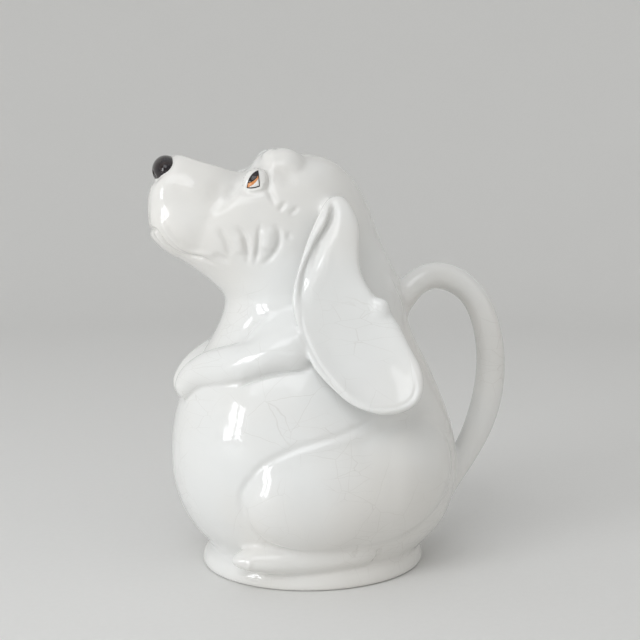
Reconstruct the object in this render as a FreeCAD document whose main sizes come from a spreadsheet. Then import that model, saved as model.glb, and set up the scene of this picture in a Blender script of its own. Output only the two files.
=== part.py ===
import FreeCAD, Part
import math
import os

# A slip-cast dog pitcher in glazed pottery: the dog sits up on an oval plinth and faces -X.
# Its left side is towards -Y, its handle is at +X, and the plinth stands on z = 0.
# All sizes are in millimetres.

# Driving sizes
SIZES = (
    ("wall", 4.5),
    ("floor_thickness", 5.0),
    ("plinth_height", 9.0),
    ("plinth_collar_rise", 4.0),
    ("plinth_half_length", 65.0),
    ("plinth_half_width", 57.0),
    ("plinth_edge_inset", 2.5),
    ("plinth_collar_inset", 8.0),
    ("plinth_bevel", 1.2),
    ("belly_front_reach", 82.0),
    ("belly_rear_reach", 85.0),
    ("belly_half_width", 66.0),
    ("neck_height", 152.0),
    ("head_height", 88.0),
    ("nose_reach", 93.0),
    ("head_half_width", 36.0),
    ("flew_half_length", 30.0),
    ("flew_half_width", 16.5),
    ("flew_half_height", 23.5),
    ("brow_half_length", 15.0),
    ("brow_half_width", 14.0),
    ("brow_half_height", 17.5),
    ("mouth_length", 38.0),
    ("mouth_width", 25.0),
    ("nose_half_length", 8.0),
    ("nose_half_width", 9.5),
    ("nose_half_height", 8.0),
    ("jaw_half_length", 13.0),
    ("jaw_half_width", 13.0),
    ("jaw_half_height", 5.0),
    ("eyeball_radius", 9.0),
    ("eye_half_length", 3.8),
    ("eye_half_height", 5.2),
    ("iris_radius", 6.2),
    ("pupil_radius", 4.4),
    ("handle_stand_out", 31.0),
    ("handle_half_width", 8.5),
    ("arm_half_height", 13.0),
    ("arm_half_width", 12.0),
    ("haunch_half_length", 59.0),
    ("haunch_half_width", 26.0),
    ("haunch_half_height", 37.0),
    ("haunch_stand_out", 4.2),
    ("foot_half_length", 41.0),
    ("foot_half_width", 13.0),
    ("foot_half_height", 9.5),
    ("foot_stand_out", 4.4),
    ("ear_half_width", 33.0),
    ("ear_half_thickness", 4.8),
    ("ear_drop", 111.0),
    ("ear_spread", 73.0),
)

# Trunk rings, up from the plinth to the neck: rise above the plinth, front reach, rear reach, half width
TRUNK_SHARES = (
    (0.00, 0.72, 0.74, 0.76),
    (0.05, 0.77, 0.83, 0.81),
    (0.115, 0.86, 0.92, 0.885),
    (0.22, 0.955, 0.985, 0.965),
    (0.36, 1.00, 1.00, 1.00),
    (0.50, 0.99, 0.96, 0.975),
    (0.64, 0.93, 0.87, 0.895),
    (0.78, 0.80, 0.76, 0.775),
    (0.90, 0.68, 0.665, 0.655),
)

# Head rings, from the neck round to the muzzle: forward and rise of the underside point,
# then of the top point, then half width. Forward counts from the axis, rise from the neck.
HEAD_SHARES = (
    (0.545, 0.01, -0.54, 0.14, 1.03),
    (0.565, 0.08, -0.435, 0.36, 1.00),
    (0.60, 0.12, -0.37, 0.545, 0.98),
    (0.64, 0.16, -0.27, 0.76, 0.97),
    (0.695, 0.205, -0.11, 0.92, 0.95),
    (0.76, 0.255, 0.09, 0.965, 0.90),
    (0.825, 0.30, 0.25, 0.965, 0.82),
    (0.88, 0.34, 0.40, 0.855, 0.72),
    (0.93, 0.375, 0.54, 0.92, 0.66),
    (0.975, 0.43, 0.69, 0.96, 0.61),
    (0.995, 0.52, 0.82, 0.955, 0.55),
    (1.00, 0.62, 0.91, 0.875, 0.44),
    (0.995, 0.70, 0.955, 0.82, 0.24),
)

# Handle rings: reach and height of the inner point, then of the outer point, then half width.
# A reach is a share of the belly's rear reach and a share of what the handle stands out behind it.
HANDLE_SHARES = (
    ((0.491, 0), 0.585, (0.491, 0), 0.655, 1.10),
    ((0.645, 0.139), 0.618, (0.616, 0.068), 0.692, 1.00),
    ((0.711, 0.297), 0.657, (0.714, 0.306), 0.723, 0.96),
    ((0.79, 0.49), 0.648, (0.826, 0.578), 0.709, 0.96),
    ((0.855, 0.648), 0.603, (0.928, 0.824), 0.645, 0.96),
    ((0.891, 0.736), 0.52, (0.989, 0.974), 0.54, 0.98),
    ((0.891, 0.736), 0.42, (0.999, 0.996), 0.41, 1.00),
    ((0.862, 0.666), 0.335, (0.957, 0.895), 0.305, 1.04),
    ((0.725, 0.332), 0.215, (0.797, 0.508), 0.125, 1.10),
)

# Forearm rings, shoulder to paw: forward, sideways and height shares, turn and dip in degrees,
# then half height and half width
ARM_SHARES = (
    (-0.12, 0.30, 0.90, 0, 0, 1.00, 0.80),
    (0.08, 0.52, 0.875, 0, 0, 1.25, 1.10),
    (0.26, 0.615, 0.862, 14, 4, 0.98, 1.12),
    (0.47, 0.53, 0.822, 28, 5, 0.86, 1.04),
    (0.645, 0.39, 0.783, 38, 13, 0.98, 0.94),
    (0.785, 0.25, 0.757, 38, 32, 0.82, 0.80),
    (0.88, 0.175, 0.715, 28, 52, 0.64, 0.68),
    (0.915, 0.155, 0.665, 16, 68, 0.30, 0.36),
)

# Ear rings, root to tip: rearward, sideways and drop shares, turn and flare in degrees, half width
# and half thickness, then the place and depth of the groove behind the rolled front edge and the
# depth of the dished outer face. Sideways counts from the head's side to the ear's spread.
EAR_SHARES = (
    (0.094, -0.13, 0.000, 0, 35, 0.11, 0.70, 0.0, 0.0, 0.0),
    (0.076, 0.03, 0.050, 0, 25, 0.26, 1.00, -0.3, 0.35, 0.0),
    (0.061, 0.16, 0.130, 0, 10, 0.38, 1.00, -0.33, 0.75, 0.0),
    (0.027, 0.25, 0.250, -2, 3, 0.45, 1.00, -0.55, 0.95, 0.05),
    (0.012, 0.295, 0.370, -3, 5, 0.54, 1.00, -0.76, 0.75, 0.3),
    (0.035, 0.349, 0.470, -4, 8, 0.69, 1.00, -0.8, 0.4, 0.55),
    (0.105, 0.428, 0.580, -6, 12, 0.82, 1.00, -0.82, 0.15, 0.75),
    (0.165, 0.526, 0.700, -8, 20, 0.86, 1.00, -0.84, 0.0, 0.88),
    (0.223, 0.665, 0.800, -8, 28, 0.86, 1.00, -0.84, 0.0, 0.92),
    (0.27, 0.803, 0.880, -8, 35, 0.74, 1.00, -0.84, 0.0, 0.9),
    (0.3, 0.911, 0.945, -8, 42, 0.56, 0.90, -0.84, 0.0, 0.72),
    (0.312, 0.970, 0.980, -8, 50, 0.33, 0.65, -0.84, 0.0, 0.35),
    (0.316, 1.000, 0.995, -8, 55, 0.14, 0.35, -0.84, 0.0, 0.0),
)

# Raised forms of the head: forward and rise of the middle, then how far out to the side
FLEW_SHARES = (0.67, 0.565, 0.26)
BROW_SHARES = (0.20, 0.798, 0.33)
JAW_SHARES = (0.875, 0.395, 0.0)
NOSE_SHARES = (0.90, 0.86, 0.0)
EYE_SHARES = (0.372, 0.768, 0.60)
JAW_TILT = 39

# Pouring opening: how far forward its middle lies, then the rise of its floor and of its top
MOUTH_SHARES = (0.62, 0.75, 1.1)

# Haunch and hind foot: rearward place of the middle, the part of the belly's half width that it
# stands out from, then its rise off the plinth in half heights
HAUNCH_SHARES = (0.135, 1.0, 1.28)
HAUNCH_TURNING = "rotation(8; -11; 0)"
FOOT_SHARES = (-0.15, 0.83, 0.85)

# Height of the ear's root on the head
EAR_ROOT_SHARE = 0.68

# Iris and pupil: up and forward from the middle of the eye
IRIS_SHARES = (0.55, 0.60)

doc = FreeCAD.newDocument("dog_pitcher")
sheet = doc.addObject("Spreadsheet::Sheet", "sizes")
for row, (alias, value) in enumerate(SIZES, start=1):
    sheet.set(f"A{row}", alias)
    sheet.set(f"B{row}", str(value))
    sheet.setAlias(f"B{row}", alias)
doc.recompute()


def share_of(alias, share):
    """A share of one named size."""
    return f"sizes.{alias} * {share}"


def trunk_level(share):
    """A height between the plinth and the neck."""
    return f"sizes.plinth_height + (sizes.neck_height - sizes.plinth_height) * {share}"


def head_level(share):
    """A height above the neck, as a share of the head's height."""
    return f"sizes.neck_height + sizes.head_height * {share}"


def closed_curve(name, points):
    """A smooth closed unit outline through evenly numbered points."""
    curve = Part.BSplineCurve()
    steps = [float(step) for step in range(len(points) + 1)]
    curve.interpolate(Points=points, PeriodicFlag=True, Parameters=steps)
    outline = doc.addObject("Part::Feature", name)
    outline.Shape = Part.Wire([curve.toShape()])
    return outline


def unit_circle(name, corner_count):
    angles = [2 * math.pi * step / corner_count for step in range(corner_count)]
    return closed_curve(name, [FreeCAD.Vector(math.cos(angle), math.sin(angle), 0) for angle in angles])


unit_oval = unit_circle("unit_oval", 12)

# Eye opening, as shares of its half height and half length: corners (up, forward) with a point
# halfway along each bowed side
EYE_SIDE_SHARES = (
    ((1.0, -0.45), (0.12, 0.45), (-1.0, 1.0)),
    ((-1.0, 1.0), (-1.08, 0.0), (-0.85, -0.95)),
    ((-0.85, -0.95), (0.05, -0.80), (1.0, -0.45)),
)


def bowed_outline(name, sides):
    """A closed unit outline of arcs, each through three points."""
    arcs = [Part.Arc(*(FreeCAD.Vector(up, forward, 0) for up, forward in side)).toShape() for side in sides]
    outline = doc.addObject("Part::Feature", name)
    outline.Shape = Part.Wire(arcs)
    return outline


unit_lid = bowed_outline("unit_lid", EYE_SIDE_SHARES)


def ring(name, place, turning, half_x, half_y, unit=unit_oval):
    """The unit outline stretched to two half sizes, turned and set at its place."""
    oval = doc.addObject("Part::Scale", name)
    oval.Base = unit
    oval.Uniform = False
    oval.setExpression("XScale", half_x)
    oval.setExpression("YScale", half_y)
    oval.setExpression("Placement", f"placement(vector({'; '.join(place)}); {turning})")
    return oval


def ring_between(name, low, high, half_width, inset="0"):
    """A ring across the median plane, from the point low to the point high, each an (x, z) pair."""
    run = f"(({high[0]}) - ({low[0]}))"
    climb = f"(({high[1]}) - ({low[1]}))"
    place = (f"(({high[0]}) + ({low[0]})) / 2", "0", f"(({high[1]}) + ({low[1]})) / 2")
    turning = f"rotation(vector(0; 1; 0); -atan2({climb}; {run}))"
    half_length = f"sqrt({run} * {run} + {climb} * {climb}) / 2 - {inset}"
    return ring(name, place, turning, half_length, f"{half_width} - {inset}")


def loft(name, rings):
    """A smooth solid through the rings."""
    solid = doc.addObject("Part::Loft", name)
    solid.Sections = rings
    solid.Solid = True
    return solid


def ellipsoid(name, place, half_x, half_y, half_z, turning="rotation(vector(0; 1; 0); 0)"):
    """A full ellipsoid at its place."""
    lump = doc.addObject("Part::Ellipsoid", name)
    lump.Angle1 = -90
    lump.setExpression("Radius1", f"({half_z}) * 1 mm")
    lump.setExpression("Radius2", f"({half_x}) * 1 mm")
    lump.setExpression("Radius3", f"({half_y}) * 1 mm")
    lump.setExpression("Placement", f"placement(vector({'; '.join(place)}); {turning})")
    return lump


def cut(name, base, tool):
    """The base with the tool taken out of it."""
    result = doc.addObject("Part::Cut", name)
    result.Base = base
    result.Tool = tool
    return result


def common(name, base, tool):
    """What the base and the tool share."""
    result = doc.addObject("Part::Common", name)
    result.Base = base
    result.Tool = tool
    return result


def fuse(name, pieces):
    """One solid made of several."""
    result = doc.addObject("Part::MultiFuse", name)
    result.Shapes = pieces
    result.Refine = False
    return result


def seated(name, blank, carriers):
    """A blank trimmed to lie face to face on each of its carriers."""
    piece = blank
    for number, carrier in enumerate(carriers, start=1):
        last = number == len(carriers)
        piece = cut(name if last else f"{name}_trim_{number}", piece, carrier)
    return piece


def mirrored(name, source):
    """The right-hand twin of a left-hand piece."""
    twin = doc.addObject("Part::Mirroring", name)
    twin.Source = source
    twin.Normal = FreeCAD.Vector(0, 1, 0)
    return twin


parts = {}


# Body: the casting
def trunk_ring(name, shares, floor="0", inset="0"):
    rise, front, rear, width = shares
    height = f"{trunk_level(rise)} + {floor}"
    low = (f"-{share_of('belly_front_reach', front)}", height)
    high = (share_of("belly_rear_reach", rear), height)
    return ring_between(name, low, high, share_of("belly_half_width", width), inset)


def head_ring(name, shares, inset="0"):
    under_forward, under_rise, top_forward, top_rise, width = shares
    low = (f"-{share_of('nose_reach', under_forward)}", head_level(under_rise))
    high = (f"-{share_of('nose_reach', top_forward)}", head_level(top_rise))
    return ring_between(name, low, high, share_of("head_half_width", width), inset)


def casting_rings(prefix, inset, floor):
    rings = []
    for number, shares in enumerate(TRUNK_SHARES):
        if floor != "0" and number == 1:
            continue
        lift = floor if number == 0 else "0"
        rings.append(trunk_ring(f"{prefix}_trunk_{number}", shares, lift, inset))
    for number, shares in enumerate(HEAD_SHARES):
        if floor != "0" and number >= len(HEAD_SHARES) - 2:
            continue
        rings.append(head_ring(f"{prefix}_head_{number}", shares, inset))
    return rings


figure = loft("figure", casting_rings("outer", "0", "0"))
hollow = loft("hollow", casting_rings("inner", "sizes.wall", "sizes.floor_thickness"))


def head_place(shares):
    """A place on the left side of the head, or in its middle, by shares of the head's own sizes."""
    forward, rise, sideways = shares
    return (
        f"-{share_of('nose_reach', forward)}",
        f"-{share_of('head_half_width', sideways)}",
        head_level(rise),
    )


left_flew = ellipsoid(
    "left_flew",
    head_place(FLEW_SHARES),
    "sizes.flew_half_length",
    "sizes.flew_half_width",
    "sizes.flew_half_height",
)
left_brow = ellipsoid(
    "left_brow",
    head_place(BROW_SHARES),
    "sizes.brow_half_length",
    "sizes.brow_half_width",
    "sizes.brow_half_height",
)
right_flew = mirrored("right_flew", left_flew)
right_brow = mirrored("right_brow", left_brow)
jaw = ellipsoid(
    "jaw",
    head_place(JAW_SHARES),
    "sizes.jaw_half_length",
    "sizes.jaw_half_width",
    "sizes.jaw_half_height",
    f"rotation(vector(0; 1; 0); {JAW_TILT})",
)
casting = fuse("casting", [figure, left_flew, right_flew, left_brow, right_brow, jaw])


def mouth_ring(name, rise):
    forward = MOUTH_SHARES[0]
    place = (f"-{share_of('nose_reach', forward)}", "0", head_level(rise))
    return ring(name, place, "rotation(vector(0; 1; 0); 0)", "sizes.mouth_length / 2", "sizes.mouth_width / 2")


mouth = loft("mouth", [mouth_ring("mouth_low", MOUTH_SHARES[1]), mouth_ring("mouth_high", MOUTH_SHARES[2])])
parts["body"] = cut("body", cut("shell", casting, hollow), mouth)

# Plinth: upright sides, a rounded top edge and a sloping collar that the casting sits in
PLINTH_SHARES = ((0.35, 0.0), (0.75, 0.35), (1.0, 1.0))


def plinth_ring(name, height, inset):
    return ring(
        name,
        ("0", "0", height),
        "rotation(vector(0; 1; 0); 0)",
        f"sizes.plinth_half_length - {inset}",
        f"sizes.plinth_half_width - {inset}",
    )


plinth_rings = [
    plinth_ring("plinth_base_ring", "0", "sizes.plinth_bevel"),
    plinth_ring("plinth_bevel_ring", "sizes.plinth_bevel", "0"),
]
for number, (rise, inset) in enumerate(PLINTH_SHARES):
    plinth_rings.append(
        plinth_ring(
            f"plinth_ring_{number}", share_of("plinth_height", rise), share_of("plinth_edge_inset", inset)
        )
    )
collar_top = "sizes.plinth_height + sizes.plinth_collar_rise"
plinth_rings.append(plinth_ring("plinth_collar_ring", collar_top, "sizes.plinth_collar_inset"))
plinth_blank = loft("plinth_blank", plinth_rings)
parts["plinth"] = cut("plinth", plinth_blank, casting)


# Handle
TOP = "sizes.neck_height + sizes.head_height"


def behind_belly(reach):
    belly, stand_out = reach
    return f"{share_of('belly_rear_reach', belly)} + {share_of('handle_stand_out', stand_out)}"


def handle_ring(name, shares):
    inner_reach, inner_height, outer_reach, outer_height, width = shares
    low = (behind_belly(inner_reach), f"({TOP}) * {inner_height}")
    high = (behind_belly(outer_reach), f"({TOP}) * {outer_height}")
    return ring_between(name, low, high, share_of("handle_half_width", width))


handle_blank = loft(
    "handle_blank", [handle_ring(f"handle_ring_{number}", row) for number, row in enumerate(HANDLE_SHARES)]
)
parts["handle"] = cut("handle", handle_blank, casting)


# Forearms
def arm_ring(name, shares):
    forward, sideways, height, turn, dip, half_height, half_width = shares
    place = (
        f"-{share_of('belly_front_reach', forward)}",
        f"-{share_of('belly_half_width', sideways)}",
        share_of("neck_height", height),
    )
    turning = f"rotation({-turn}; {90 - dip}; 0)"
    return ring(
        name, place, turning, share_of("arm_half_height", half_height), share_of("arm_half_width", half_width)
    )


arm_blank = loft("arm_blank", [arm_ring(f"arm_ring_{number}", row) for number, row in enumerate(ARM_SHARES)])

def beside_belly(share, form):
    """Sideways place of a raised form that stands out of the belly's left side."""
    return f"-({share_of('belly_half_width', share)} + sizes.{form}_stand_out - sizes.{form}_half_width)"


# Haunches
haunch_blank = ellipsoid(
    "haunch_blank",
    (
        share_of("belly_rear_reach", HAUNCH_SHARES[0]),
        beside_belly(HAUNCH_SHARES[1], "haunch"),
        f"sizes.plinth_height + {share_of('haunch_half_height', HAUNCH_SHARES[2])}",
    ),
    "sizes.haunch_half_length",
    "sizes.haunch_half_width",
    "sizes.haunch_half_height",
    HAUNCH_TURNING,
)


# Hind feet
foot_blank = ellipsoid(
    "foot_blank",
    (
        share_of("belly_front_reach", FOOT_SHARES[0]),
        beside_belly(FOOT_SHARES[1], "foot"),
        f"sizes.plinth_height + {share_of('foot_half_height', FOOT_SHARES[2])}",
    ),
    "sizes.foot_half_length",
    "sizes.foot_half_width",
    "sizes.foot_half_height",
)


# Ears
EAR_STEP_SHARES = (1.0, 0.93, 0.80, 0.64, 0.46, 0.26, 0.04, -0.18, -0.40, -0.60, -0.78, -0.92)
EAR_SQUARENESS = 2.6
GROOVE_WIDTH_SHARE = 0.17


def ear_section(name, groove_place, groove_depth, dish_depth):
    """A unit outline of the ear: rounded edges, a flat inner face and a grooved and dished outer face."""
    outer = []
    inner = []
    for across in EAR_STEP_SHARES:
        bulge = (1 - abs(across) ** EAR_SQUARENESS) ** (1 / EAR_SQUARENESS)
        groove = groove_depth * math.exp(-(((across - groove_place) / GROOVE_WIDTH_SHARE) ** 2))
        dish = dish_depth * (1 - across**4) ** 2
        outer.append(FreeCAD.Vector(across, -bulge + bulge * (groove + dish), 0))
        inner.append(FreeCAD.Vector(-across, bulge, 0))
    return closed_curve(name, outer + inner)


def ear_ring(name, shares):
    rearward, sideways, drop, turn, flare, half_width, half_thickness, *face = shares
    place = (
        share_of("belly_rear_reach", rearward),
        f"-sizes.head_half_width - (sizes.ear_spread - sizes.head_half_width) * {sideways}",
        f"{head_level(EAR_ROOT_SHARE)} - {share_of('ear_drop', drop)}",
    )
    turning = f"rotation({turn}; 0; {-flare})"
    return ring(
        name,
        place,
        turning,
        share_of("ear_half_width", half_width),
        share_of("ear_half_thickness", half_thickness),
        ear_section(f"{name}_outline", *face),
    )


ear_blank = loft("ear_blank", [ear_ring(f"ear_ring_{number}", row) for number, row in enumerate(EAR_SHARES)])

# Nose
nose_blank = ellipsoid(
    "nose_blank",
    head_place(NOSE_SHARES),
    "sizes.nose_half_length",
    "sizes.nose_half_width",
    "sizes.nose_half_height",
)
parts["nose"] = seated("nose", nose_blank, [casting, mouth])

# Eyes, looking out to the side, forward and up
EYE_TURNING = "rotation(-22; 0; -28) * rotation(0; -90; 90)"
EYE_CENTRE = head_place(EYE_SHARES)


def eye_frame(up="0", forward="0", out="0"):
    """A place measured from the middle of the eyeball along the eye's own directions."""
    return (
        f"placement(vector({'; '.join(EYE_CENTRE)}); {EYE_TURNING})"
        f" * placement(vector({up}; {forward}; {out}); rotation(0; 0; 0))"
    )


def eye_drum(name, radius):
    """A drum through the eyeball that marks out the iris or the pupil."""
    drum = doc.addObject("Part::Cylinder", name)
    drum.setExpression("Radius", f"{radius} * 1 mm")
    drum.setExpression("Height", "sizes.eyeball_radius * 2 mm")
    up, forward = IRIS_SHARES
    place = eye_frame(share_of("eye_half_height", up), share_of("eye_half_length", forward))
    drum.setExpression("Placement", place)
    return drum


def lid_ring(name, out):
    outline = doc.addObject("Part::Scale", name)
    outline.Base = unit_lid
    outline.Uniform = False
    outline.setExpression("XScale", "sizes.eye_half_height")
    outline.setExpression("YScale", "sizes.eye_half_length")
    outline.setExpression("Placement", eye_frame(out=out))
    return outline


eyeball = ellipsoid("eyeball", EYE_CENTRE, *["sizes.eyeball_radius"] * 3)
lid = loft("lid", [lid_ring("lid_back", "0"), lid_ring("lid_front", "sizes.eyeball_radius * 2")])
eye_pad = cut("eye_pad", common("eye_front", eyeball, lid), casting)
iris_drum = eye_drum("iris_drum", "sizes.iris_radius")
pupil_drum = eye_drum("pupil_drum", "sizes.pupil_radius")

left_pieces = {
    "eye_white": cut("left_eye_white", eye_pad, iris_drum),
    "iris": cut("left_iris", common("iris_disc", eye_pad, iris_drum), pupil_drum),
    "pupil": common("left_pupil", eye_pad, pupil_drum),
    "haunch": seated("left_haunch", haunch_blank, [casting, plinth_blank]),
    "hind_foot": seated("left_hind_foot", foot_blank, [casting, haunch_blank, plinth_blank]),
    "forearm": seated("left_forearm", arm_blank, [casting]),
    "ear": seated("left_ear", ear_blank, [casting, arm_blank, haunch_blank]),
}
for name, piece in left_pieces.items():
    parts[f"left_{name}"] = piece
    parts[f"right_{name}"] = mirrored(f"right_{name}", piece)

doc.recompute()

# Checks, then one file for each piece
for item in doc.Objects:
    if "Invalid" in item.State or "Error" in item.State:
        raise RuntimeError(f"{item.Name} failed: {item.State}")
for name, piece in parts.items():
    if piece.Shape.isNull() or not piece.Shape.isValid():
        raise RuntimeError(f"{name} has no sound shape")
    piece.Label = name

os.makedirs("parts", exist_ok=True)
for name, piece in parts.items():
    piece.Shape.exportStep(f"parts/{name}.step")
    print(name, "solids:", len(piece.Shape.Solids), "volume:", round(piece.Shape.Volume))
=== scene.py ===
import math

import bpy
import numpy as np
import openvdb as vdb
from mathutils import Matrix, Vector
from mathutils.geometry import delaunay_2d_cdt


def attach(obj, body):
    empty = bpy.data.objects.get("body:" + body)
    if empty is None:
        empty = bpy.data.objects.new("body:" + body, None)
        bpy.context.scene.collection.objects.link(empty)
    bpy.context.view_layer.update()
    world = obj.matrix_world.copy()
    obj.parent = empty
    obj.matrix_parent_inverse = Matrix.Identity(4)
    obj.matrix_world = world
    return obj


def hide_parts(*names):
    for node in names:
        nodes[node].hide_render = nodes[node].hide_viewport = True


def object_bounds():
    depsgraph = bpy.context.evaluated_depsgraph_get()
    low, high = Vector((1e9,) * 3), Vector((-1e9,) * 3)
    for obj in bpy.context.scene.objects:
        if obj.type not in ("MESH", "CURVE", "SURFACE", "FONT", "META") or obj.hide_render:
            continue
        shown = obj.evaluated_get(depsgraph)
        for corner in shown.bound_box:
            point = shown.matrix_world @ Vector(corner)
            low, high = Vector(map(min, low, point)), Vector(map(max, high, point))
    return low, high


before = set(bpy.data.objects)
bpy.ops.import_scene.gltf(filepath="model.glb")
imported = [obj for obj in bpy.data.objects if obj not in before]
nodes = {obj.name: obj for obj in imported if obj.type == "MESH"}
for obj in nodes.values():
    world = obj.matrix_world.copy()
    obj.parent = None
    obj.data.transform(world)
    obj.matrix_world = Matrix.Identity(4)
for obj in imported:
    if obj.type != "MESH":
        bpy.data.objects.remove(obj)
cad_box = [list(corner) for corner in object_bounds()]

MM = 0.001
IMAGE_PIXELS = 640

SIDES = (("left", 1), ("right", -1))

# Glaze skin: cell size, reach and margin of its distance field, in millimetres
VOXEL = 0.7
BAND = 10.0
MARGIN = 4
# Rounds of smoothing on each piece's field and on the whole, and on the mesh at first and at the end
PIECE_BLUR, FIELD_BLUR = 2, 1
SKIN_ROUNDS, LAST_ROUNDS = 10, 1
SMOOTH_STEP, SWELL_STEP = 0.5, -0.52
# Rounds that melt the head's lumps and the thighs, at cells of 1 mm
HEAD_ROUNDS, THIGH_ROUNDS = 16, 30
# Strokes: spacing of their points in millimetres, reach in half widths, and points moved at a time
STROKE_STEP, STROKE_REACH, STROKE_BATCH = 0.5, 2.6, 20000

low_corner = np.array(cad_box[0]) / MM - MARGIN
high_corner = np.array(cad_box[1]) / MM + MARGIN
first_cell = np.floor(low_corner / VOXEL).astype(int)
cells = np.ceil(high_corner / VOXEL).astype(int) - first_cell + 1


def mesh_arrays(obj):
    mesh = obj.data
    mesh.calc_loop_triangles()
    points = np.empty(len(mesh.vertices) * 3, np.float32)
    mesh.vertices.foreach_get("co", points)
    corners = np.empty(len(mesh.loop_triangles) * 3, np.int32)
    mesh.loop_triangles.foreach_get("vertices", corners)
    return points.reshape(-1, 3) / MM, corners.reshape(-1, 3).astype(np.uint32)


def window(low, high, reach):
    """Index range of the domain round a box, as slices and the first cell."""
    a = np.clip(np.floor((np.array(low) - reach) / VOXEL).astype(int) - first_cell, 0, cells - 1)
    b = np.clip(np.ceil((np.array(high) + reach) / VOXEL).astype(int) - first_cell + 1, 1, cells)
    return tuple(slice(int(p), int(q)) for p, q in zip(a, b)), a


def node_field(node, lift=0.0):
    """Signed distance to a CAD node in millimetres, in a window of the domain."""
    points, triangles = mesh_arrays(nodes[node])
    points[:, 2] += lift
    width = BAND / VOXEL
    grid = vdb.FloatGrid.createLevelSetFromPolygons(
        points,
        triangles=triangles,
        transform=vdb.createLinearTransform(voxelSize=VOXEL),
        exBandWidth=width,
        inBandWidth=width,
    )
    place, a = window(points.min(0), points.max(0), BAND)
    block = np.full([s.stop - s.start for s in place], BAND, np.float32)
    grid.copyToArray(block, tuple(int(v) for v in a + first_cell))
    return place, block


def axes_of(place):
    """Cell positions in a window, one broadcast array for each axis."""
    lines = [
        ((np.arange(s.start, s.stop) + first_cell[i]) * VOXEL).astype(np.float32)
        for i, s in enumerate(place)
    ]
    return np.meshgrid(*lines, indexing="ij", sparse=True)


def blur(values, passes):
    for _ in range(passes):
        for axis in range(3):
            values = np.moveaxis(values, axis, 0)
            inner = values[1:-1] * 0.5 + (values[:-2] + values[2:]) * 0.25
            values = np.concatenate([values[:1], inner, values[-1:]])
            values = np.moveaxis(values, 0, axis)
    return np.ascontiguousarray(values)


def ramp(values, low, high):
    t = np.clip((values - low) / (high - low), 0, 1)
    return t * t * (3 - 2 * t)


def unite(place, block, blend, number):
    """Unites a shape with the skin's field and gives its cells to a piece."""
    old = field[place]
    overlap = np.clip(blend - np.abs(old - block), 0, None) / blend
    owner[place][block < old] = number
    field[place] = np.minimum(old, block) - overlap * overlap * blend / 4


# Luted pieces: how far each one blends into what carries it, and its lift
WHITE_NODES = (
    ("plinth", 2.5, 0.0),
    ("left_haunch", 2.5, 0.0),
    ("right_haunch", 2.5, 0.0),
    ("left_hind_foot", 3.5, 0.0),
    ("right_hind_foot", 3.5, 0.0),
    ("left_forearm", 1.8, 0.0),
    ("right_forearm", 1.8, -2.5),
    ("handle", 4.5, 0.0),
    ("left_ear", 1.2, 0.0),
    ("right_ear", 1.2, 0.0),
)
WHITE_NUMBERS = {name: number for number, (name, _, _) in enumerate(WHITE_NODES, start=1)}
# Where a piece melts away into its carrier, the blend grows by this much from low to high on each axis
SOFTER = {
    "haunch": (9, ((0, 12, 45),)),
    "forearm": (12, ((0, -52, -30), (2, 122, 132))),
    "ear": (5, ((2, 190, 212),)),
}
# Lumps of clay: middle, half sizes, blend and the piece that they belong to, on the left side
LUMPS = (
    ((-23.5, 0, 226), (11, 12, 11.5), 6.5, None),
    ((-32.5, -11, 224.9), (4.5, 6.5, 2.7), 1.2, None),
    ((28, -53.5, 155), (3.5, 3, 4), 5, "ear"),
)

field = np.full(cells, BAND, np.float32)
ear_gap = np.full(cells, BAND, np.float32)
owner = np.zeros(cells, np.int8)
place, block = node_field("body")
field[place] = block
for name, blend, lift in WHITE_NODES:
    place, block = node_field(name, lift)
    block = blur(block, PIECE_BLUR)
    growth, ramps = SOFTER.get(name.split("_")[-1], (0, ()))
    for axis, low, high in ramps:
        growth = growth * ramp(axes_of(place)[axis], low, high)
    if name.endswith("ear"):
        ear_gap[place] = np.minimum(ear_gap[place], block)
    unite(place, block, blend + growth, WHITE_NUMBERS[name])


def add_lump(middle, half, blend, number):
    """Unites an ellipsoid of clay with the skin."""
    middle, half = np.array(middle, float), np.array(half, float)
    place, _ = window(middle - half, middle + half, BAND)
    away = [(line - m) / r for line, m, r in zip(axes_of(place), middle, half)]
    length = np.sqrt(sum(a * a for a in away))
    slope = np.sqrt(sum((a / r) ** 2 for a, r in zip(away, half)))
    unite(place, length * (length - 1) / np.maximum(slope, 1e-6), blend, number)


# The forehead fills the valley between the brows, the casting is thicker inside between the eyes,
# and the ears have a knob on the rear edge
for (x, y, z), half, blend, carrier in LUMPS:
    for side, turn in SIDES if y else SIDES[:1]:
        number = WHITE_NUMBERS[f"{side}_{carrier}"] if carrier else 0
        add_lump((x, y * turn, z), half, blend, number)

field = blur(field, FIELD_BLUR)

# Skin mesh
grid = vdb.FloatGrid(float(BAND))
grid.copyFromArray(field, tuple(int(v) for v in first_cell))
grid.transform = vdb.createLinearTransform(voxelSize=VOXEL)
points, quads = grid.convertToQuads(0.0)
quads = quads.astype(np.int64)


def ring_of(quads, size):
    """For a quad mesh, a function that gives each corner's way to the middle of its neighbours."""
    starts = np.concatenate([quads[:, i] for i in range(4)] * 2)
    ends = np.concatenate([quads[:, (i + step) % 4] for step in (1, 3) for i in range(4)])
    count = np.maximum(np.bincount(starts, minlength=size), 1)[:, None]

    def to_middle(points):
        total = np.stack([np.bincount(starts, points[ends, i], size) for i in range(3)], 1)
        return total / count - points

    return to_middle


def taubin(points, quads, rounds):
    """Smooths a closed quad mesh without shrinking it."""
    to_middle = ring_of(quads, len(points))
    points = points.astype(np.float64)
    for _ in range(rounds):
        points += SMOOTH_STEP * to_middle(points)
        points += SWELL_STEP * to_middle(points)
    return points


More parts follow.
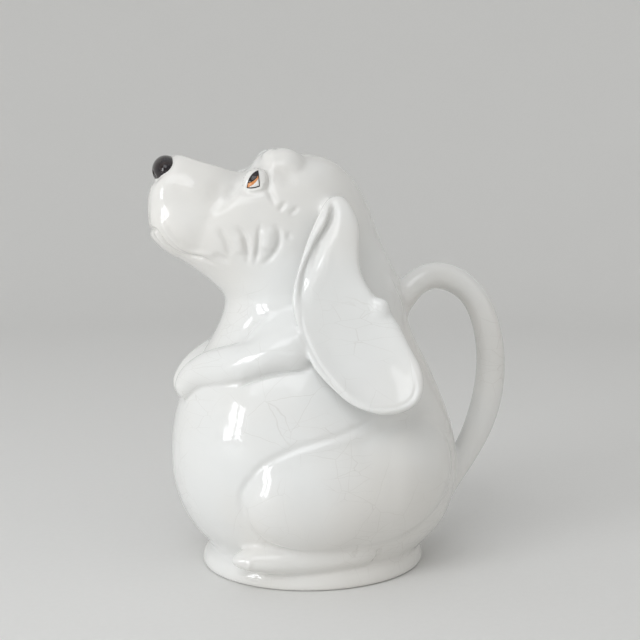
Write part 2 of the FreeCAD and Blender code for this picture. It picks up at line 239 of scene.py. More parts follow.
def relax(points, quads, rounds, weight):
    """Evens out the surface where the weight isn't zero."""
    part = quads[(weight[quads] > 0).any(1)]
    used = np.unique(part)
    to_middle = ring_of(np.searchsorted(used, part), len(used))
    some = points[used]
    share = SMOOTH_STEP * weight[used][:, None]
    for _ in range(rounds):
        some += share * to_middle(some)
    points[used] = some
    return points


def normals_of(points, quads):
    normals = np.zeros_like(points)
    a, b, c, d = (points[quads[:, i]] for i in range(4))
    slopes = np.cross(c - a, d - b)
    for corner in range(4):
        for i in range(3):
            normals[:, i] += np.bincount(quads[:, corner], slopes[:, i], len(points))
    return normals / np.maximum(np.linalg.norm(normals, axis=1), 1e-9)[:, None]


def sampled(values, spots):
    index = np.clip(np.rint(spots / VOXEL).astype(int) - first_cell, 0, cells - 1)
    return values[index[:, 0], index[:, 1], index[:, 2]]


points = taubin(points, quads, SKIN_ROUNDS)
face_owner = sampled(owner, points[quads].mean(1))

# Where the lumps of the head melt into one another: up from the neck, away from the ears, and not at
# the pouring opening's edge or at the jaw's lip
NECK_MELT = (152, 176)
EAR_MELT = (1.5, 6)
OPENING_MIDDLE, OPENING_HALF, OPENING_LOW, OPENING_MELT = -57.7, (19, 12.5), 205, (1.15, 1.6)
LIP_FRONT, LIP_TOP, LIP_KEPT = (83, 87), (197, 203), 0.85
x, y, z = points.T
opening = np.hypot((x - OPENING_MIDDLE) / OPENING_HALF[0], y / OPENING_HALF[1])
opening[z <= OPENING_LOW] = OPENING_MELT[1]
lip = ramp(-x, *LIP_FRONT) * (1 - ramp(z, *LIP_TOP))
melt = ramp(z, *NECK_MELT) * ramp(sampled(ear_gap, points), *EAR_MELT)
melt *= ramp(opening, *OPENING_MELT) * (1 - LIP_KEPT * lip)
melt[sampled(owner, points) > 0] = 0
points = relax(points, quads, round(HEAD_ROUNDS / VOXEL**2), melt)

# Where the thighs melt into the belly at the rear
THIGH_REAR, THIGH_FOOT, THIGH_TOP, THIGH_SIDE = (8, 40), (20, 27), (78, 92), (6, 16)
THIGH_KEPT = [
    number for name, number in WHITE_NUMBERS.items() if name.endswith(("plinth", "handle", "foot", "ear"))
]
rear = ramp(x, *THIGH_REAR) * ramp(np.abs(y), *THIGH_SIDE)
rear *= ramp(z, *THIGH_FOOT) * (1 - ramp(z, *THIGH_TOP))
rear[np.isin(sampled(owner, points), THIGH_KEPT)] = 0
points = relax(points, quads, round(THIGH_ROUNDS / VOXEL**2), rear)
normals = normals_of(points, quads)


# Strokes of the modelling tool on the left side: points, half width, depth, and the share of the way
# that fades at each end. A negative depth raises the clay. Each is repeated on the right, and one that
# starts on the middle plane runs through to the other side.
STROKES = {
    "mouth": (
        ((-93, 0, 194.6), (-92, -8, 194.9), (-89.8, -14.2, 194.7), (-86.6, -14.7, 190.4),
         (-84.5, -14.1, 187.6), (-80.2, -13.5, 184), (-74.2, -13.5, 181.1), (-69.5, -15.4, 180),
         (-64.8, -18.3, 179.2), (-58.4, -20.1, 176.8), (-54, -20.6, 174.3)),
        1.3, 2.0, (0.0, 0.3)),
    "upper_lip": (
        ((-88.1, -17.4, 202), (-85.5, -19.3, 198), (-83, -19.7, 193.7), (-80.3, -19.7, 190.4),
         (-76.6, -19, 186.5), (-72.8, -18.5, 184.2), (-68.6, -19, 183.1), (-64.9, -20.3, 182.6),
         (-59.6, -22.5, 181.9), (-56, -24.2, 181.7)),
        1.7, -1.0, (0.2, 0.25)),
    "lip_corner": (((-60, -23, 183), (-54.3, -23.7, 180), (-49.1, -25.2, 177.9)), 2.2, 1.0, (0.4, 0.4)),
    "fold_a": (
        ((-59, -27, 193), (-56, -28.3, 194.5), (-53, -28.3, 191), (-51, -27, 185), (-50, -26, 179.5)),
        1.7, 1.1, (0.3, 0.3)),
    "lump_1": (((-47.3, -30.6, 194.5), (-45.7, -30, 188), (-45, -28.5, 181.4)), 2.6, -0.9, (0.35, 0.3)),
    "fold_b": (
        ((-49.5, -30, 199), (-44, -31.4, 194), (-41.5, -31, 187), (-41.2, -30, 180), (-43, -28, 176)),
        1.5, 1.3, (0.3, 0.3)),
    "lump_2": (
        ((-38.4, -32.6, 197.7), (-38.2, -32.1, 189.1), (-38.7, -30.1, 179.8)),
        2.3, -0.7, (0.4, 0.3)),
    "fold_c": (
        ((-34.2, -33.4, 201), (-35, -33, 194), (-35.4, -32.4, 188), (-36.5, -30.8, 180),
         (-38, -29, 175)),
        1.4, 1.2, (0.35, 0.3)),
    "lump_3": (((-31.5, -33.9, 197), (-30.2, -33.5, 190), (-32.2, -32.2, 183)), 3.6, -1.2, (0.3, 0.3)),
    "fold_d": (
        ((-28.3, -34, 200), (-24.6, -34.3, 194), (-25, -34, 186.5), (-30, -32.2, 179.5),
         (-36.5, -29.9, 175.3)),
        1.7, 1.2, (0.3, 0.3)),
    "cheek_pad_edge": (
        ((-80, -21, 213.5), (-66.8, -24, 209.5), (-51.8, -25, 210.5)),
        4.5, 0.7, (0.4, 0.4)),
    "cheek_pad": (((-78, -20.5, 219), (-66, -22, 217), (-55, -21, 217)), 6.0, -0.8, (0.4, 0.4)),
    "muzzle_crease": (
        ((-51.5, -26, 210.5), (-47.8, -21.8, 216.6), (-43.5, -18, 221)),
        2.6, 1.0, (0.35, 0.35)),
    "brow_crease": (
        ((-30.4, -23, 227), (-29.8, -26, 223), (-29.4, -29, 217.5), (-27.4, -32, 211.4),
         (-25.6, -33, 207.5)),
        1.8, 1.3, (0.3, 0.35)),
    "brow_ridge": (
        ((-25.0, -14, 238), (-25.8, -21, 231.5), (-27, -26.3, 223.5)),
        2.6, -0.9, (0.3, 0.3)),
    "temple": (((-19, -22, 229), (-18.2, -25.7, 224.7), (-18, -29.5, 217)), 4.5, 0.8, (0.4, 0.4)),
    "small_fold_1": (
        ((-25.5, -33, 205.5), (-23.3, -33.5, 207.2), (-19.5, -32.5, 211.2)),
        1.4, 0.9, (0.4, 0.4)),
    "small_fold_2": (((-19.5, -34, 203), (-17, -33.7, 205), (-13, -32.9, 208)), 1.4, 0.8, (0.4, 0.4)),
    "small_fold_3": (((-19.2, -34.5, 195), (-19.2, -34.5, 189)), 1.6, 0.7, (0.4, 0.4)),
    "neck_fold": (
        ((-45, -33, 134), (-38, -31, 139.5), (-32, -30.9, 146), (-24, -33, 151)),
        2.2, -1.2, (0.3, 0.35)),
    "neck_hollow": (((-50, -24, 137), (-43, -27.5, 142), (-36, -29, 150)), 3.2, 0.9, (0.4, 0.4)),
    "under_arm": (
        ((-51.2, -39, 110.2), (-47.1, -40.9, 111.8), (-43.9, -42, 113.9), (-39.3, -43.7, 115.9),
         (-32.6, -45.8, 118.2), (-24.2, -47.6, 119.9), (-16, -49.5, 121), (-8.5, -50.5, 122)),
        0.95, 1.7, (0.25, 0.2)),
    "elbow": (((-52, -40, 114.5), (-47, -42.5, 116.5), (-42, -44, 119.5)), 2.6, -0.5, (0.4, 0.4)),
    "ear_groove": (
        ((5, -38, 211.5), (2, -42.5, 202), (-2.6, -45.4, 193.8), (-7.7, -47.1, 186.5),
         (-11.1, -47.6, 179.2), (-13.7, -47.3, 171.8), (-15, -48.4, 162.4), (-15.6, -50.6, 153.1)),
        1.3, 1.9, (0.1, 0.45)),
    "ear_rim_groove": (
        ((-15, -49.5, 157), (-15, -51.4, 147.8), (-13.6, -52.4, 141), (-10.8, -54.7, 133.8),
         (-7.1, -58.2, 126.3), (-0.6, -63.5, 117.1), (5.1, -67.2, 110.7), (11.9, -70.1, 106.5),
         (18.1, -72, 104.8), (27.2, -73.4, 104.8), (34.7, -73.7, 106.2), (39.9, -72.9, 109.7),
         (42, -70.8, 114.9), (41.5, -67.1, 121.9)),
        0.9, 0.6, (0.1, 0.15)),
    "ear_roll": (
        ((1.5, -38.5, 209.5), (-2.5, -42, 201.5), (-7.5, -44.5, 193), (-12, -46, 184),
         (-15.2, -46.5, 175), (-17.4, -47.5, 165), (-18.3, -50, 153)),
        2.0, -0.9, (0.25, 0.3)),
    "ear_rim": (
        ((-18.3, -50, 153), (-17, -52.5, 141), (-12.3, -55.5, 130.5), (-8.2, -59, 122.5),
         (0, -64, 113.5), (8, -68, 106.5), (15.7, -70.9, 103.8), (24.7, -73.3, 102.6),
         (34.1, -74.2, 103.8), (40.5, -74.2, 106.8), (43.5, -73, 111.5), (43.6, -71, 118)),
        1.3, -0.4, (0.1, 0.15)),
    "haunch_front": (
        ((26, -56.5, 97), (9.5, -61.7, 90), (-6.3, -62.5, 85.5), (-18.5, -62, 82.3), (-26.8, -61, 78.8),
         (-37, -58, 72.5), (-44.2, -54.8, 63.6), (-48, -52.3, 55.8), (-48.2, -52, 49), (-45.5, -52, 40),
         (-39, -53, 32)),
        2.2, 1.1, (0.1, 0.3)),
    "haunch_edge": (
        ((26, -58, 93), (9.5, -62.5, 86), (-5.5, -63.5, 81.5), (-17, -63.2, 78), (-24.5, -62.5, 74.5),
         (-33, -60.5, 68.5), (-39.5, -58, 61), (-43, -56, 54.5), (-43.2, -55.5, 49)),
        4.2, -0.6, (0.2, 0.4)),
    "heel": (((27.5, -53, 22), (27.2, -50.2, 16), (24.5, -48.5, 11.5)), 1.6, 1.1, (0.3, 0.3)),
    "foot_top": (((-36, -53, 27), (-22, -55.5, 24), (-8, -57, 21.5)), 2.2, 0.8, (0.4, 0.4)),
    "handle_root": (
        ((38.2, -19.8, 171), (40, -21.5, 166), (42, -22, 160), (46.5, -19.7, 150), (48.4, -21.5, 139)),
        3.2, -1.5, (0.3, 0.45)),
    "lower_lip": (
        ((-93, 0, 190), (-92, -7, 189.8), (-90, -11, 188.3), (-87, -11.5, 185.3), (-82, -10.5, 182)),
        3.2, -0.5, (0.1, 0.6)),
    "nose_rim": (
        ((-90, 0, 220.5), (-88.6, -7.5, 221.5), (-86, -13, 223.3), (-83.5, -14.6, 225.8),
         (-81.3, -14, 228.3), (-79.5, -10, 231.8), (-78.3, -4, 234.2)),
        2.6, 0.8, (0.0, 0.3)),
    "brow_front": (
        ((-31, -11, 232.5), (-27, -12, 236.8), (-22.5, -12, 238.8)),
        5.0, -1.2, (0.35, 0.35)),
    "toe": (((-46, -51.5, 17), (-42, -53.5, 15)), 4.5, -0.6, (0.5, 0.5)),
}


def smooth_line(points):
    """Points along a smooth curve through the given ones, each with its share of the way."""
    points = np.array(points, float)
    ends = np.concatenate([[2 * points[0] - points[1]], points, [2 * points[-1] - points[-2]]])
    line = []
    for a, b, c, d in zip(ends, ends[1:], ends[2:], ends[3:]):
        steps = max(2, round(float(np.linalg.norm(c - b)) / STROKE_STEP))
        t = (np.arange(steps) / steps)[:, None]
        curve = 2 * b + (c - a) * t + (2 * a - 5 * b + 4 * c - d) * t**2 + (3 * (b - c) + d - a) * t**3
        line.append(0.5 * curve)
    line = np.concatenate(line + [points[-1:]])
    return line, np.linspace(0, 1, len(line))


def apply_stroke(line, half_width, depth, taper):
    """Moves the surface along the stroke, with a bell-shaped section."""
    curve, way = smooth_line(line)
    reach = half_width * STROKE_REACH
    near = np.flatnonzero(((points > curve.min(0) - reach) & (points < curve.max(0) + reach)).all(1))
    for start in range(0, len(near), STROKE_BATCH):
        some = near[start : start + STROKE_BATCH]
        gaps = ((points[some][:, None] - curve[None]) ** 2).sum(2)
        closest = gaps.argmin(1)
        s = way[closest]
        fade = np.exp(-gaps[np.arange(len(some)), closest] / half_width**2)
        for share, end in zip(taper, (s, 1 - s)):
            if share > 0:
                fade *= ramp(end, 0, share)
        points[some] -= normals[some] * (depth * fade)[:, None]


for line, half_width, depth, taper in STROKES.values():
    mirrored = [(a, -b, c) for a, b, c in line]
    if line[0][1] == 0:
        apply_stroke(mirrored[:0:-1] + list(line), half_width, depth, (taper[1] / 2, taper[1] / 2))
    else:
        apply_stroke(line, half_width, depth, taper)
        apply_stroke(mirrored, half_width, depth, taper)

# Eyes: the socket follows the eyeball, and the lids stand round the opening
EYE_MIDDLE = np.array((-34.6, -21.6, 219.6))
EYE_UP = np.array((0.1758, 0.4353, 0.8829))
EYE_FORWARD = np.array((-0.9272, 0.3746, 0.0))
EYE_OUT = np.array((-0.3307, -0.8186, 0.4695))
EYE_RADIUS = 8.6
EYE_HALF = np.array((5.2, 3.8))
EYE_SIDES = (
    ((1, -0.45), (0.12, 0.45), (-1, 1)),
    ((-1, 1), (-1.08, 0), (-0.85, -0.95)),
    ((-0.85, -0.95), (0.05, -0.8), (1, -0.45)),
)
IRIS, IRIS_RADIUS = np.array((1.6, 3.6)), 6.7
PUPIL, PUPIL_RADIUS = np.array((1.9, 2.6)), 4.95
# How far the lid's line, the socket's edge and the black line's inner edge lie outside the opening
LID_GROWTH, SOCKET_GROWTH, LINE_GROWTH = 0.95, 0.25, -0.42
# The skin's gap to the eyeball, the width of the collar round the lid, and where skin can belong to it
EYE_SKIN, EYE_COLLAR, EYE_REACH, EYE_FRONT = 0.3, 4.5, 16, 3
# The lid's rim: half width and height, and how its outline is stepped
LID_WIDTH, LID_RISE, LID_STEP, OUTLINE_STEPS = 1.2, 0.5, 3, 25
# The painted fields: thickness, the pupil's rise, and the spacing and span of their mesh
EYE_THICKNESS, PUPIL_RISE, EYE_GRID, EYE_SPAN, CIRCLE_STEPS = 1.2, 0.05, 0.55, 5.8, 90


def lid_outline(grow):
    """The eye's opening as (up, forward) points, grown or shrunk from the middle of each side."""
    line = []
    for a, b, c in EYE_SIDES:
        a, b, c = (np.array(p) * EYE_HALF for p in (a, b, c))
        control = 2 * b - (a + c) / 2
        t = np.linspace(0, 1, OUTLINE_STEPS)[:-1, None]
        line.append((1 - t) ** 2 * a + 2 * t * (1 - t) * control + t**2 * c)
    line = np.concatenate(line)
    run = np.roll(line, -1, 0) - np.roll(line, 1, 0)
    side = np.stack([run[:, 1], -run[:, 0]], 1) / np.linalg.norm(run, axis=1)[:, None]
    area = 0.5 * (line[:, 0] * np.roll(line[:, 1], -1) - line[:, 1] * np.roll(line[:, 0], -1)).sum()
    return line + side * (grow if area > 0 else -grow)


def on_eyeball(flat, sink=0.0):
    """Places on the left eyeball for (up, forward) points."""
    flat = np.asarray(flat)
    out = np.sqrt(EYE_RADIUS**2 - (flat**2).sum(1)) - sink
    return EYE_MIDDLE + flat[:, :1] * EYE_UP + flat[:, 1:] * EYE_FORWARD + out[:, None] * EYE_OUT


def inside(flat, polygon):
    """Which points lie in a closed outline."""
    count = np.zeros(len(flat), int)
    for (a, b), (c, d) in zip(polygon, np.roll(polygon, -1, 0)):
        crosses = (b > flat[:, 1]) != (d > flat[:, 1])
        with np.errstate(all="ignore"):
            count += crosses & (flat[:, 0] < (c - a) * (flat[:, 1] - b) / (d - b) + a)
    return count % 2 == 1


lid = lid_outline(LID_GROWTH)
for side in (1, -1):
    mirror = np.array((1, side, 1))
    away = points * mirror - EYE_MIDDLE
    reach = np.linalg.norm(away, axis=1)
    front = (away @ EYE_OUT > EYE_FRONT) & ((normals * mirror) @ EYE_OUT > 0)
    near = np.flatnonzero((reach < EYE_REACH) & front)
    away, reach = away[near], reach[near]
    flat = np.stack([away @ EYE_UP, away @ EYE_FORWARD], 1)
    off_lid = np.sqrt(((flat[:, None] - lid[None]) ** 2).sum(2).min(1))
    off_lid[inside(flat, lid)] = 0
    wanted = reach + (1 - ramp(off_lid, 0, EYE_COLLAR)) * (EYE_RADIUS + EYE_SKIN - reach)
    wanted[inside(flat, lid_outline(SOCKET_GROWTH))] = EYE_RADIUS - EYE_SKIN
    points[near] = (EYE_MIDDLE + away * (wanted / reach)[:, None]) * mirror
    rim = on_eyeball(lid, -EYE_SKIN) * mirror
    apply_stroke(np.concatenate([rim, rim[:2]])[::LID_STEP], LID_WIDTH, -LID_RISE, (0, 0))

points = taubin(points, quads, LAST_ROUNDS)
points = np.clip(points, low_corner + MARGIN, high_corner - MARGIN)
normals = normals_of(points, quads)


def mesh_object(name, points, faces):
    """A smooth mesh from points in millimetres."""
    mesh = bpy.data.meshes.new(name)
    mesh.from_pydata((np.asarray(points) * MM).tolist(), [], [list(map(int, face)) for face in faces])
    mesh.polygons.foreach_set("use_smooth", np.ones(len(mesh.polygons), bool))
    mesh.update()
    obj = bpy.data.objects.new(name, mesh)
    bpy.context.scene.collection.objects.link(obj)
    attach(obj, "root")
    return obj


pieces = {}
for number, name in enumerate(["body"] + [row[0] for row in WHITE_NODES]):
    faces = quads[face_owner == number]
    used = np.unique(faces)
    piece = mesh_object(f"{name}_glaze", points[used], np.searchsorted(used, faces))
    piece.data.normals_split_custom_set_from_vertices(normals[used].tolist())
    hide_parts(name)
    pieces[name] = piece


# Nose: a lobed pad with two nostrils and a groove between them
NOSE_MIDDLE, NOSE_HALF, NOSE_BACK = np.array((-82.6, 0.0, 227.2)), np.array((7.6, 14.4, 8.2)), -77.2
NOSE_STEPS = ((96, 128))
# Dents of each side: place, depth and half sizes
NOSTRILS = (((-88.9, 3.6, 225.8), 1.5, (2.4, 1.3, 1.3)), ((-88.0, 6.0, 224.4), 0.6, (2.4, 1.5, 1.0)))
GROOVE_DEPTH, GROOVE_HALF, GROOVE_TOP, GROOVE_BACK, GROOVE_FADE = 0.7, 0.8, 228, -84, 3


def nose_mesh():
    across, around = NOSE_STEPS
    tilt = math.pi * np.arange(across + 1)[:, None] / across
    turn = 2 * math.pi * np.arange(around)[None] / around
    ring = [np.sin(tilt) * np.cos(turn), np.sin(tilt) * np.sin(turn)]
    unit = np.stack([-np.cos(tilt) + 0 * turn] + ring, 2).reshape(-1, 3)
    points = NOSE_MIDDLE + unit * NOSE_HALF
    x, y, z = points.T
    dents = GROOVE_DEPTH * np.exp(-((y / GROOVE_HALF) ** 2)) * ramp(GROOVE_TOP - z, 0, GROOVE_FADE)
    dents *= ramp(GROOVE_BACK - x, 0, GROOVE_FADE)
    for side in (-1, 1):
        for place, depth, half in NOSTRILS:
            spot = np.array(place) * (1, side, 1)
            dents += depth * np.exp(-(((points - spot) / half) ** 2).sum(1))
    points = points - unit * dents[:, None]
    points[:, 0] = np.minimum(points[:, 0], NOSE_BACK)
    faces = []
    for i in range(across):
        for j in range(around):
            k = (j + 1) % around
            faces.append((i * around + j, (i + 1) * around + j, (i + 1) * around + k, i * around + k))
    return points, faces


nose = mesh_object("nose_glaze", *nose_mesh())
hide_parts("nose")


# Eyes: painted fields on the eyeball, cut along their outlines
def circle(middle, radius):
    turns = np.linspace(0, 2 * math.pi, CIRCLE_STEPS, endpoint=False)
    return middle + radius * np.stack([np.cos(turns), np.sin(turns)], 1)


outlines = [lid_outline(0.0), lid_outline(LINE_GROWTH)]
outlines += [circle(IRIS, IRIS_RADIUS), circle(PUPIL, PUPIL_RADIUS)]
flat_points = []
flat_edges = []
for outline in outlines:
    start = len(flat_points)
    flat_points += [Vector(p) for p in outline]
    flat_edges += [(start + i, start + (i + 1) % len(outline)) for i in range(len(outline))]
steps = np.arange(-EYE_SPAN, EYE_SPAN, EYE_GRID)
flat_points += [Vector((a, b)) for a in steps for b in steps]
flat, _, triangles, *_ = delaunay_2d_cdt(flat_points, flat_edges, [], 0, 1e-4)
flat = np.array([tuple(p) for p in flat])
triangles = np.array(triangles)
centres = flat[triangles].mean(1)
opening = inside(centres, outlines[0])
bare = inside(centres, outlines[1])
in_pupil = np.linalg.norm(centres - PUPIL, axis=1) < PUPIL_RADIUS
in_iris = np.linalg.norm(centres - IRIS, axis=1) < IRIS_RADIUS
fields = {
    "pupil": opening & (~bare | in_pupil),
    "iris": bare & ~in_pupil & in_iris,
    "eye_white": bare & ~in_pupil & ~in_iris,
}
EYE_GLAZE = {"pupil": "black_glaze", "iris": "amber_glaze", "eye_white": "eye_white_glaze"}
eye_pieces = []
for kind, chosen in fields.items():
    faces = triangles[chosen]
    used = np.unique(faces)
    faces = np.searchsorted(used, faces)
    count = len(used)
    edges = np.concatenate([faces[:, (0, 1)], faces[:, (1, 2)], faces[:, (2, 0)]])
    keys = {tuple(edge) for edge in edges.tolist()}
    border = [edge for edge in keys if edge[::-1] not in keys]
    solid = faces.tolist() + (faces[:, ::-1] + count).tolist()
    solid += [(b, a, a + count, b + count) for a, b in border]
    raised = PUPIL_RISE if kind == "pupil" else 0.0
    spots = np.concatenate([on_eyeball(flat[used], -raised), on_eyeball(flat[used], EYE_THICKNESS)])
    for side, turn in SIDES:
        piece = mesh_object(f"{side}_{kind}_glaze", spots * (1, turn, 1), solid)
        piece.data.validate()
        eye_pieces.append((piece, kind))
        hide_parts(f"{side}_{kind}")


# Materials
def new_material(name, colour, rough):
    material = bpy.data.materials.new(name)
    material.use_nodes = True
    shader = material.node_tree.nodes["Principled BSDF"]
    shader.inputs["Base Color"].default_value = (*colour, 1)
    shader.inputs["Roughness"].default_value = rough
    return material, material.node_tree, shader


def add(tree, kind, settings=None, **inputs):
    node = tree.nodes.new(kind)
    for key, value in (settings or {}).items():
        setattr(node, key, value)
    for key, value in inputs.items():
        socket = node.inputs[int(key[1:])] if key[0] == "i" and key[1:].isdigit() else node.inputs[key]
        if isinstance(value, bpy.types.NodeSocket):
            tree.links.new(value, socket)
        else:
            socket.default_value = value
    return node


def maths(tree, operation, a, b):
    return add(tree, "ShaderNodeMath", {"operation": operation}, i0=a, i1=b).outputs[0]


def remap(tree, value, low, high, start=0.0, end=1.0):
    settings = {"interpolation_type": "SMOOTHSTEP"}
    node = add(tree, "ShaderNodeMapRange", settings, i0=value, i1=low, i2=high, i3=start, i4=end)
    return node.outputs[0]


def noise(tree, where, scale, detail):
    return add(tree, "ShaderNodeTexNoise", Vector=where, Scale=scale, Detail=detail).outputs["Fac"]


def mix(tree, factor, a, b):
    node = add(tree, "ShaderNodeMix", {"data_type": "RGBA"}, i0=factor)
    for socket, value in ((node.inputs[6], a), (node.inputs[7], b)):
        if isinstance(value, bpy.types.NodeSocket):
            tree.links.new(value, socket)
        else:
            socket.default_value = (*value, 1)
    return node.outputs[2]


def raise_surface(tree, shader, height):
    bump = add(tree, "ShaderNodeBump", Strength=1.0, Distance=1.0, Height=height)
    tree.links.new(bump.outputs[0], shader.inputs["Normal"])


# White glaze, in metres. A noise is its scale and detail, and a range is where it goes from 0 to 1.
WHITE_TONES = (0.80, 0.805, 0.795), (0.79, 0.775, 0.745)
TONE_NOISE, TONE_RANGE = (9.0, 3.0), (0.35, 0.65)
# Crazed lines: their cells, how much they bend, the height where they stop, and the patches with them
WIDE_CRACKS = {"scale": 52.0, "stretch": (1.0, 1.0, 0.7), "width": 0.00019}
FINE_CRACKS = {"scale": 120.0, "stretch": (0.45, 0.45, 1.4), "width": 0.00016}
CRACK_BEND, CRACK_BEND_SCALE, CRACK_BEND_DETAIL = 0.35, 0.9, 3.0
CRACK_HEIGHT = (0.15, 0.175)
WIDE_NOISE, WIDE_RANGE = (19.0, 2.0), (0.42, 0.6)
FINE_NOISE, FINE_RANGE = (23.0, 1.0), (0.52, 0.66)
CRACK_TINT, CRACK_COLOUR, CRACK_DEPTH = 0.24, (0.50, 0.47, 0.43), 0.00002
# Roughness, the slow wave of the surface and its fine orange peel
GLOSS_NOISE, GLOSS_RANGE, GLOSS = (70.0, 3.0), (0.3, 0.7), (0.05, 0.11)
WAVE_NOISE, WAVE_HEIGHT = (38.0, 1.0), 0.0011
PEEL_NOISE, PEEL_HEIGHT = (420.0, 1.0), 0.000012


def crackle(tree, where, scale, stretch, width):
    """Thin broken lines where the glaze has crazed."""
    noisy = add(tree, "ShaderNodeTexNoise", Vector=where, Scale=scale * CRACK_BEND_SCALE)
    noisy.inputs["Detail"].default_value = CRACK_BEND_DETAIL
    bend = add(tree, "ShaderNodeVectorMath", {"operation": "SCALE"}, i0=noisy.outputs["Color"])
    bend.inputs["Scale"].default_value = CRACK_BEND / scale
    bent = add(tree, "ShaderNodeVectorMath", {"operation": "ADD"}, i0=where, i1=bend.outputs[0]).outputs[0]
    bent = add(tree, "ShaderNodeMapping", Vector=bent, Scale=stretch).outputs[0]
    cells = add(tree, "ShaderNodeTexVoronoi", {"feature": "DISTANCE_TO_EDGE"}, Vector=bent, Scale=scale)
    return remap(tree, cells.outputs["Distance"], 0.0, width * scale, 1.0, 0.0)


white, tree, shader = new_material("white_glaze", WHITE_TONES[0], GLOSS[0])
where = add(tree, "ShaderNodeTexCoord").outputs["Object"]
wide = crackle(tree, where, **WIDE_CRACKS)
fine = crackle(tree, where, **FINE_CRACKS)
rise = add(tree, "ShaderNodeSeparateXYZ", i0=where).outputs["Z"]
low = remap(tree, rise, *CRACK_HEIGHT, 1.0, 0.0)
wide_patch = maths(tree, "MULTIPLY", low, remap(tree, noise(tree, where, *WIDE_NOISE), *WIDE_RANGE))
fine_patch = maths(tree, "MULTIPLY", low, remap(tree, noise(tree, where, *FINE_NOISE), *FINE_RANGE))
wide = maths(tree, "MULTIPLY", wide, wide_patch)
fine = maths(tree, "MULTIPLY", fine, fine_patch)
lines = maths(tree, "MAXIMUM", wide, fine)
tone = mix(tree, remap(tree, noise(tree, where, *TONE_NOISE), *TONE_RANGE), *WHITE_TONES)
tone = mix(tree, maths(tree, "MULTIPLY", lines, CRACK_TINT), tone, CRACK_COLOUR)
tree.links.new(tone, shader.inputs["Base Color"])
rough = remap(tree, noise(tree, where, *GLOSS_NOISE), *GLOSS_RANGE, *GLOSS)
tree.links.new(rough, shader.inputs["Roughness"])
wave = maths(tree, "MULTIPLY", noise(tree, where, *WAVE_NOISE), WAVE_HEIGHT)
peel = maths(tree, "MULTIPLY", noise(tree, where, *PEEL_NOISE), PEEL_HEIGHT)
cracks = maths(tree, "MULTIPLY", lines, -CRACK_DEPTH)
raise_surface(tree, shader, maths(tree, "ADD", maths(tree, "ADD", wave, peel), cracks))
for piece in pieces.values():
    piece.data.materials.append(white)


# Painted glazes: darkest and lightest tone, scale of the brush streaks and roughness
PAINTED = {
    "black_glaze": ((0.012, 0.009, 0.012), (0.03, 0.021, 0.02), 180.0, 0.08),
    "amber_glaze": ((0.62, 0.20, 0.05), (0.78, 0.36, 0.14), 420.0, 0.08),
    "eye_white_glaze": ((0.80, 0.77, 0.74), (0.84, 0.83, 0.81), 420.0, 0.08),
}
STREAK_STRETCH, STREAK_DETAIL, STREAK_RANGE = (1.0, 2.5, 0.7), 4.0, (0.35, 0.7)
PAINT_SCALE, PAINT_DETAIL, PAINT_HEIGHT = 0.8, 2.0, 0.00006


def brushed_glaze(name, dark, light, scale, rough):
    """A painted glaze with brush streaks and a slightly uneven surface."""
    material, tree, shader = new_material(name, dark, rough)
    where = add(tree, "ShaderNodeTexCoord").outputs["Object"]
    streaks = add(tree, "ShaderNodeMapping", Vector=where, Scale=STREAK_STRETCH).outputs[0]
    mask = remap(tree, noise(tree, streaks, scale, STREAK_DETAIL), *STREAK_RANGE)
    tree.links.new(mix(tree, mask, dark, light), shader.inputs["Base Color"])
    uneven = noise(tree, where, scale * PAINT_SCALE, PAINT_DETAIL)
    raise_surface(tree, shader, maths(tree, "MULTIPLY", uneven, PAINT_HEIGHT))
    return material


glazes = {name: brushed_glaze(name, *values) for name, values in PAINTED.items()}
nose.data.materials.append(glazes["black_glaze"])
for piece, kind in eye_pieces:
    piece.data.materials.append(glazes[EYE_GLAZE[kind]])

# Stage: a floor that curves up into a wall all round, in metres
STAGE_SIDES, FLOOR_RADIUS, BEND_RADIUS, BEND_STEPS = 96, 1.0, 0.8, 25
WALL_HEIGHTS = (1.3, 2.2)
INNER_RADIUS = 0.4
PAPER_TONES, PAPER_NOISE, PAPER_ROUGH = ((0.77, 0.765, 0.75), (0.80, 0.795, 0.78)), (300.0, 3.0), 0.85
profile = [(INNER_RADIUS, 0.0), (FLOOR_RADIUS, 0.0)]
profile += [
    (FLOOR_RADIUS + BEND_RADIUS * math.sin(t), BEND_RADIUS - BEND_RADIUS * math.cos(t))
    for t in np.linspace(0, math.pi / 2, BEND_STEPS)[1:]
]
profile += [(FLOOR_RADIUS + BEND_RADIUS, height) for height in WALL_HEIGHTS]
turns = [2 * math.pi * i / STAGE_SIDES for i in range(STAGE_SIDES)]
stage_points = [(r * math.cos(t), r * math.sin(t), h) for r, h in profile for t in turns]
sides = [(i, (i + 1) % STAGE_SIDES) for i in range(STAGE_SIDES)]
stage_faces = [(i, j, len(stage_points)) for i, j in sides]
stage_points.append((0, 0, 0))
for low, high in ((level * STAGE_SIDES, (level + 1) * STAGE_SIDES) for level in range(len(profile) - 1)):
    stage_faces += [(low + i, high + i, high + j, low + j) for i, j in sides]
stage_mesh = bpy.data.meshes.new("floor")
stage_mesh.from_pydata(stage_points, [], stage_faces)
stage_mesh.polygons.foreach_set("use_smooth", np.ones(len(stage_mesh.polygons), bool))
floor = bpy.data.objects.new("floor", stage_mesh)
bpy.context.scene.collection.objects.link(floor)
paper, tree, shader = new_material("floor_paper", PAPER_TONES[0], PAPER_ROUGH)
where = add(tree, "ShaderNodeTexCoord").outputs["Object"]
grain = mix(tree, noise(tree, where, *PAPER_NOISE), *PAPER_TONES)
tree.links.new(grain, shader.inputs["Base Color"])
floor.data.materials.append(paper)

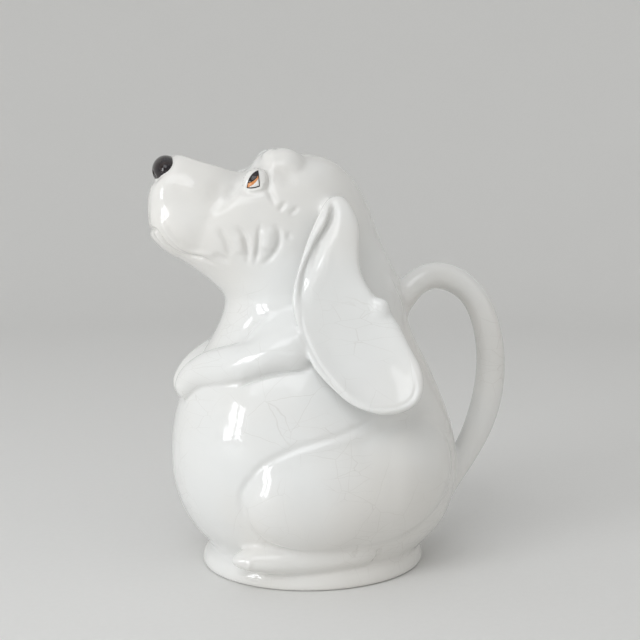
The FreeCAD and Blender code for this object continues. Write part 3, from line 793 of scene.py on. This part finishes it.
# Studio light: a window with six panes, a softbox and a weak fill, in metres and watts
WORLD_COLOUR, WORLD_STRENGTH, BACKDROP_COLOUR = (0.90, 0.91, 0.92, 1), 0.72, (0.66, 0.67, 0.67, 1)
DAYLIGHT, WARM = (0.96, 0.98, 1), (1, 0.93, 0.85)
LIGHT_AIM = Vector((0, 0, 0.12))
WINDOW_MIDDLE, PANE_SIZE, PANE_POWER = Vector((-1.15, -0.62, 0.42)), (0.15, 0.17), 0.9
PANE_ACROSS, PANE_UP = 0.11, 0.2
# Lamps: place, size, power and colour
LAMPS = {
    "sky_softbox": ((-0.6, -0.9, 1.3), (1.1, 0.8), 6.0, DAYLIGHT),
    "fill": ((1.1, -0.8, 0.5), (0.9, 0.9), 0.8, WARM),
}

world = bpy.data.worlds.new("studio")
bpy.context.scene.world = world
world.use_nodes = True
tree = world.node_tree
light = tree.nodes["Background"]
light.inputs["Color"].default_value = WORLD_COLOUR
light.inputs["Strength"].default_value = WORLD_STRENGTH
backdrop = add(tree, "ShaderNodeBackground", Color=BACKDROP_COLOUR, Strength=1.0)
seen = add(tree, "ShaderNodeMixShader", i0=add(tree, "ShaderNodeLightPath").outputs["Is Camera Ray"])
tree.links.new(light.outputs[0], seen.inputs[1])
tree.links.new(backdrop.outputs[0], seen.inputs[2])
tree.links.new(seen.outputs[0], tree.nodes["World Output"].inputs["Surface"])


def area_light(name, place, aim, size, power, colour):
    data = bpy.data.lights.new(name, "AREA")
    data.shape = "RECTANGLE"
    data.size, data.size_y = size
    data.energy = power
    data.color = colour
    obj = bpy.data.objects.new(name, data)
    bpy.context.scene.collection.objects.link(obj)
    obj.location = place
    obj.rotation_mode = "QUATERNION"
    obj.rotation_quaternion = (Vector(aim) - Vector(place)).to_track_quat("-Z", "Y")


facing = LIGHT_AIM - WINDOW_MIDDLE
across = Vector((facing.x, facing.y, 0)).cross(Vector((0, 0, 1))).normalized()
for column in (-1, 1):
    for row in (-1, 0, 1):
        pane = WINDOW_MIDDLE + across * PANE_ACROSS * column + Vector((0, 0, PANE_UP * row))
        area_light(f"window_pane_{column}_{row}", pane, pane + facing, PANE_SIZE, PANE_POWER, DAYLIGHT)
for name, (place, size, power, colour) in LAMPS.items():
    area_light(name, place, LIGHT_AIM, size, power, colour)

# Camera: focal length and axis in pixels, place in metres and angles in degrees
FOCAL_PIXELS, AXIS_PIXEL = 1100.0, 313.0
DISTANCE, HEIGHT, PITCH, SWING = 0.629, 0.2298, 8.0, 10.0
SENSOR_WIDTH = 36
camera_data = bpy.data.cameras.new("camera")
camera_data.sensor_width = SENSOR_WIDTH
camera_data.lens = FOCAL_PIXELS / IMAGE_PIXELS * SENSOR_WIDTH
camera = bpy.data.objects.new("camera", camera_data)
bpy.context.scene.collection.objects.link(camera)
swing = math.radians(SWING)
heading = swing + math.atan((IMAGE_PIXELS / 2 - AXIS_PIXEL) / FOCAL_PIXELS)
pitch = math.radians(PITCH)
camera.location = (-DISTANCE * math.sin(swing), -DISTANCE * math.cos(swing), HEIGHT)
level = Vector((math.sin(heading), math.cos(heading), 0)) * math.cos(pitch)
forward = level - Vector((0, 0, math.sin(pitch)))
camera.rotation_mode = "QUATERNION"
camera.rotation_quaternion = forward.to_track_quat("-Z", "Y")
bpy.context.scene.camera = camera
bpy.context.scene.view_settings.view_transform = "Standard"
